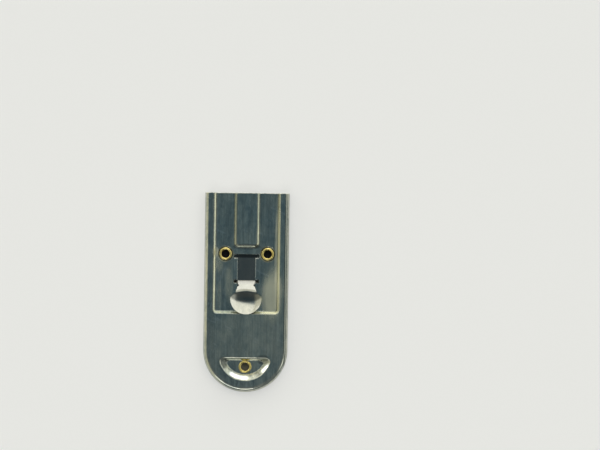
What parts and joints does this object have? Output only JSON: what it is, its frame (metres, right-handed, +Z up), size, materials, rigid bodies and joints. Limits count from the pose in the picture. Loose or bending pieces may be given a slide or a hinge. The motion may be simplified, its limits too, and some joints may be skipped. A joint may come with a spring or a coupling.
{
  "type": "hob scraper",
  "caption": "Flat pressed-metal scraper with a retractable single-edge blade, moved by a spoon-shaped thumb catch in a slot, and a hanging eyelet in its round end.",
  "frame": {"origin": "under the middle of the body, on the surface it lies on", "axes": "+Y along the body, out of the mouth; +X across it; +Z up, out of the show side"},
  "size_m": [0.0426, 0.1005, 0.0064],
  "materials": {
    "zinc_plated_steel": "zinc-plated sheet with a faint lengthwise grain",
    "brass": "bright rolled brass",
    "blade_steel": "ground blade steel",
    "spine_steel": "folded tinplate",
    "spring_strip": "bright plated spring steel"
  },
  "bodies": {
    "body": {"cover": "zinc_plated_steel", "back_plate": "zinc_plated_steel", "eyelet_front_left": "brass", "eyelet_front_right": "brass", "eyelet_rear": "brass"},
    "blade_carriage": {"blade": "blade_steel", "blade_spine": "spine_steel"},
    "thumb_catch": {"slide_strip": "spring_strip"}
  },
  "joints": [
    {"name": "blade_slide", "type": "slide", "parent": "body", "child": "blade_carriage", "axis": [0, 1, 0], "range_m": [0, 0.0128]},
    {"name": "catch_release", "type": "hinge", "parent": "blade_carriage", "child": "thumb_catch", "pos_m": [0, 0.03638, 0.00122], "axis": [-1, 0, 0], "range_deg": [0, 1.1], "stiffness_Nm_per_rad": 0.5, "springref_deg": 4.58}
  ]
}
